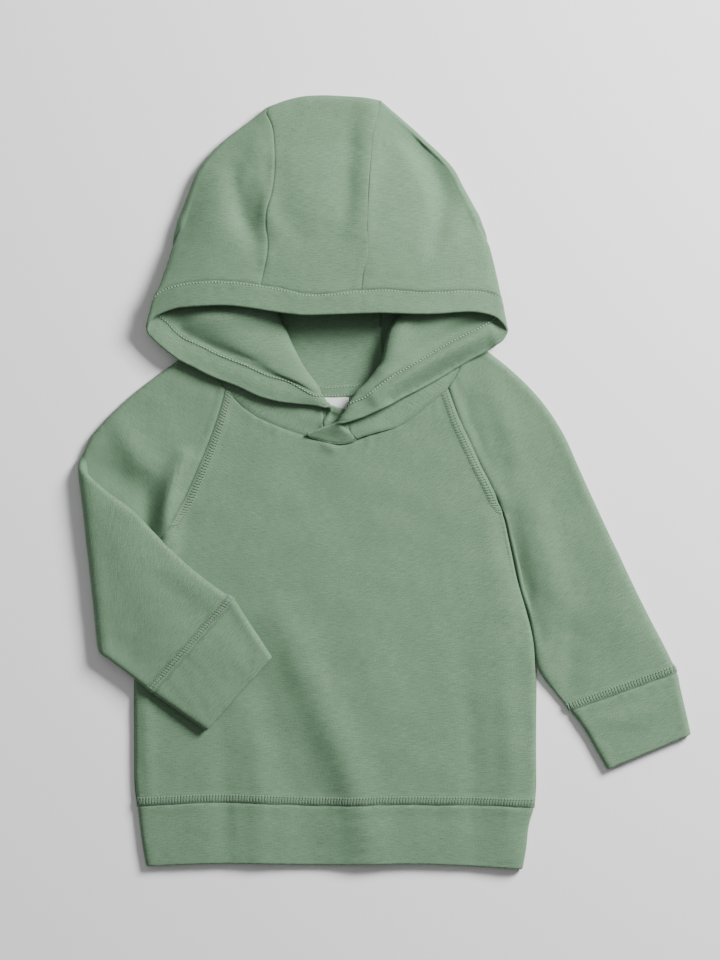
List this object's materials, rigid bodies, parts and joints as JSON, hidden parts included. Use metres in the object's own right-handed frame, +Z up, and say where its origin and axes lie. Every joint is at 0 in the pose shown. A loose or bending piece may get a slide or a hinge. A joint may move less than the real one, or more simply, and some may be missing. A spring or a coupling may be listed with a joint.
{
  "type": "toddler hoodie",
  "caption": "Toddler's pullover hoodie laid face up: raglan sleeves, one folded over the front, ribless cuffs and hem band, and a three-piece crossover hood lying open.",
  "frame": {"origin": "on the surface it lies on, under the middle of the garment's outline", "axes": "+X towards the wearer's left sleeve, +Y from the hem to the hood's crown, +Z up from the surface, out of the front"},
  "size_m": [0.4649, 0.5864, 0.0271],
  "materials": {
    "sweatshirt": "matte",
    "woven_label": "matte"
  },
  "bodies": {
    "root": {"back": "sweatshirt", "cuff_left": "sweatshirt", "cuff_right": "sweatshirt", "front": "sweatshirt", "hem_band": "sweatshirt", "hood_band": "sweatshirt", "hood_centre": "sweatshirt", "hood_left": "sweatshirt", "hood_right": "sweatshirt", "label": "woven_label", "neck_tape": "sweatshirt", "sleeve_left": "sweatshirt", "sleeve_right": "sweatshirt"}
  },
  "joints": []
}
